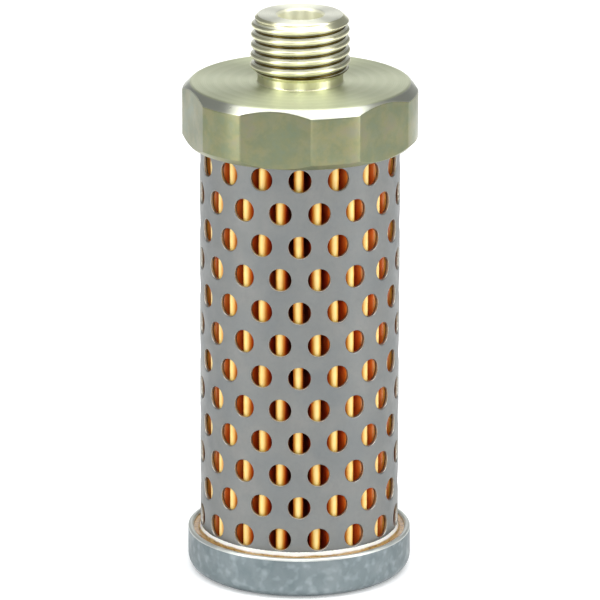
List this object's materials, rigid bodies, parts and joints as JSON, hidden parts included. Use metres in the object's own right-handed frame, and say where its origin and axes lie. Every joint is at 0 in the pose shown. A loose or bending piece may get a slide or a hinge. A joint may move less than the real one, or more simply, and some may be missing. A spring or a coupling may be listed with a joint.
{
  "type": "pneumatic muffler",
  "caption": "Potted pneumatic exhaust muffler: threaded steel head with wrench flats, perforated shell around a pleated medium, pressed end cap.",
  "frame": {"origin": "centre of the end cap's flat base, on the muffler's axis", "axes": "+Z along the axis, from the end cap towards the threaded port; -Y is the front and faces the column of shell holes opposite the shell's seam"},
  "size_m": [0.0322, 0.032, 0.0787],
  "materials": {
    "head_plating": "turned steel with pale olive zinc passivate, satin",
    "shell_steel": "satin steel sheet with punched holes",
    "medium_paper": "resin-treated pleated paper, slightly glossy",
    "clip_steel": "bright tinned strip",
    "core_steel": "dull steel sheet",
    "adhesive": "cured amber adhesive, glossy",
    "cap_galvanised": "galvanised pressed steel, softly mottled"
  },
  "bodies": {
    "root": {"head": "head_plating", "outer_shell": "shell_steel", "pleated_medium": "medium_paper", "pleat_seam_clip": "clip_steel", "core_tube": "core_steel", "upper_potting": "adhesive", "lower_potting": "adhesive", "end_cap": "cap_galvanised"}
  },
  "joints": []
}
